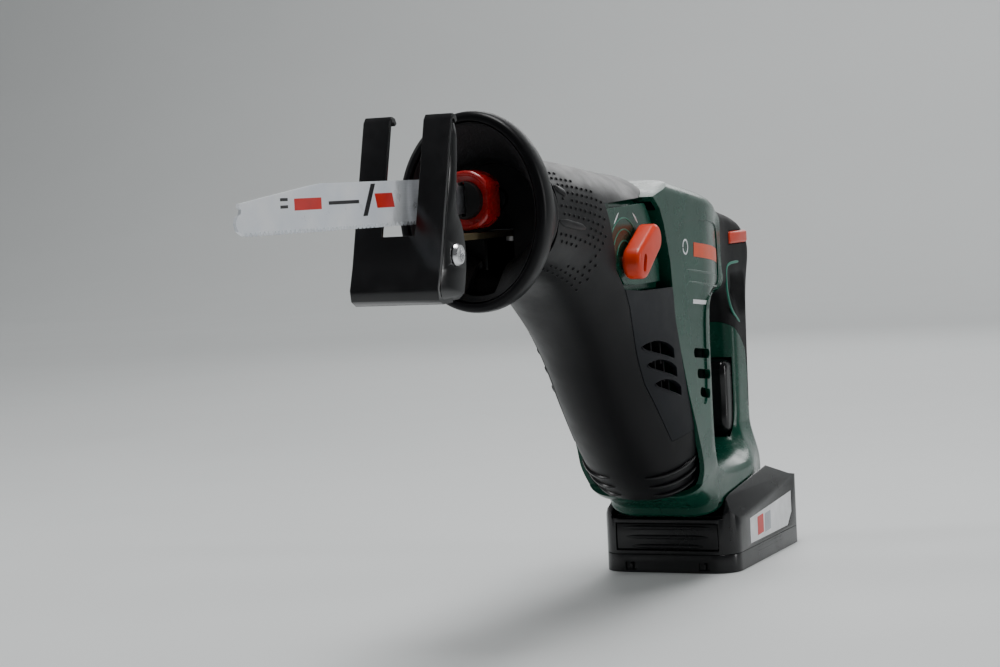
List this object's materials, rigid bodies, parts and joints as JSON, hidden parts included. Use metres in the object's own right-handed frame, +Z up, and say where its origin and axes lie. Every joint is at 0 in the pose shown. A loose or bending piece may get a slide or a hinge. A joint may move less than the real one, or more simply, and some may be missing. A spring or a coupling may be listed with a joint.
{
  "type": "reciprocating saw",
  "caption": "Cordless reciprocating saw with a D-shaped handle, an inclined motor, an oval guard ring, a tilting slotted foot, a straight toothed blade and a slide-on battery.",
  "frame": {"origin": "centre of the battery's flat underside", "axes": "+X forward along the blade towards its tip, +Y the user's left (the side with the blade-release lever), +Z up"},
  "size_m": [0.5559, 0.08, 0.247],
  "materials": {
    "green_plastic": "satin moulded plastic, fine texture",
    "black_rubber": "soft-touch, fine grain",
    "charcoal_plastic": "fine texture",
    "black_plastic": "semi-gloss, light scuffs",
    "inner_plastic": "plain moulded",
    "orange_plastic": "semi-gloss",
    "red_plastic": "semi-gloss",
    "steel": "machined",
    "black_steel": "black paint, bare edges",
    "bright_steel": "polished",
    "olive_steel": "olive passivated zinc",
    "aluminium": "as cast",
    "copper": "copper winding",
    "brass": "machined",
    "cell_wrap": "shrink wrap",
    "white_label": "printed film",
    "blade_paint": "pale paint, ground edge"
  },
  "bodies": {
    "housing": {"housing_left": "green_plastic", "housing_right": "green_plastic", "handle_grip": "black_rubber", "front_cover": "black_rubber", "vent_panel_left": "charcoal_plastic", "vent_panel_right": "charcoal_plastic", "lever_dial_plate": "green_plastic", "guard_collar": "black_rubber", "guard_funnel": "black_rubber", "housing_screw_1": "steel", "housing_screw_2": "steel", "housing_screw_3": "steel", "housing_screw_4": "steel", "gearbox_case": "aluminium", "gearbox_cover": "aluminium", "crank_gear_pin": "bright_steel", "plunger_bush_front": "brass", "plunger_bush_rear": "brass", "plunger_seal": "black_rubber", "motor_can": "steel", "motor_magnet_left": "black_steel", "motor_magnet_right": "black_steel", "motor_end_cap": "inner_plastic", "motor_bearing_front": "bright_steel", "motor_bearing_rear": "bright_steel", "switch_body": "inner_plastic", "trigger_spring": "steel", "terminal_block": "brass", "battery_shoe": "inner_plastic", "foot_bracket": "olive_steel", "foot_pivot_screw_left": "bright_steel", "foot_pivot_screw_right": "bright_steel", "bracket_screw": "steel"},
    "rotor": {"motor_shaft": "steel", "armature": "copper", "commutator": "brass", "motor_fan": "inner_plastic", "motor_pinion": "steel"},
    "crank": {"crank_gear": "steel", "crank_roller": "brass"},
    "plunger": {"plunger_rod": "bright_steel", "scotch_yoke": "steel", "blade_clamp": "black_steel"},
    "blade": {"saw_blade": "blade_paint"},
    "sleeve": {"clamp_sleeve": "red_plastic"},
    "release_lever": {"blade_release_lever": "orange_plastic"},
    "foot": {"foot_plate": "black_steel"},
    "trigger": {"trigger": "black_plastic"},
    "lock_button": {"lock_off_button": "orange_plastic"},
    "battery": {"battery_upper_case": "black_plastic", "battery_tray": "black_plastic", "battery_contact_block": "inner_plastic", "battery_label_left": "white_label", "battery_label_right": "white_label", "battery_cell_1": "cell_wrap", "battery_cell_2": "cell_wrap", "battery_cell_3": "cell_wrap", "battery_cell_4": "cell_wrap", "battery_cell_5": "cell_wrap"},
    "battery_release": {"battery_release_panel": "black_plastic"}
  },
  "joints": [
    {"name": "motor_spin", "type": "hinge", "parent": "housing", "child": "rotor", "pos_m": [0.09, 0, 0.073], "axis": [0.6494, 0, 0.7604], "continuous": true},
    {"name": "crank_spin", "type": "hinge", "parent": "housing", "child": "crank", "pos_m": [0.1789, 0, 0.177], "axis": [0, 1, 0], "continuous": true},
    {"name": "plunger_stroke", "type": "slide", "parent": "housing", "child": "plunger", "axis": [1, 0, 0], "range_m": [0, 0.02]},
    {"name": "blade_insert", "type": "slide", "parent": "plunger", "child": "blade", "axis": [1, 0, 0], "range_m": [0, 0.017]},
    {"name": "sleeve_turn", "type": "hinge", "parent": "plunger", "child": "sleeve", "pos_m": [0.288, 0, 0.207], "axis": [1, 0, 0], "range_deg": [0, 60]},
    {"name": "lever_swing", "type": "hinge", "parent": "housing", "child": "release_lever", "pos_m": [0.181, 0.036, 0.173], "axis": [0, 1, 0], "range_deg": [0, 50], "stiffness_Nm_per_rad": 0.05, "springref_deg": -17.19},
    {"name": "foot_tilt", "type": "hinge", "parent": "housing", "child": "foot", "pos_m": [0.35, 0, 0.1846], "axis": [0, 1, 0], "range_deg": [-12, 15]},
    {"name": "trigger_squeeze", "type": "slide", "parent": "housing", "child": "trigger", "axis": [-1, 0, 0], "range_m": [0, 0.006], "stiffness_N_per_m": 600, "springref_m": -0.002, "deforming": ["trigger_spring"]},
    {"name": "lock_off_push", "type": "slide", "parent": "housing", "child": "lock_button", "axis": [0, 1, 0], "range_m": [-0.002, 0.002], "stiffness_N_per_m": 500},
    {"name": "battery_slide", "type": "slide", "parent": "housing", "child": "battery", "axis": [1, 0, 0], "range_m": [0, 0.104]},
    {"name": "release_press", "type": "slide", "parent": "battery", "child": "battery_release", "axis": [-1, 0, 0], "range_m": [0, 0.0025], "stiffness_N_per_m": 800, "springref_m": -0.002}
  ],
  "couplings": [
    {"joint": "crank_spin", "follows": "motor_spin", "ratio": -0.3},
    {"joint": "sleeve_turn", "follows": "lever_swing", "ratio": 1.2}
  ]
}
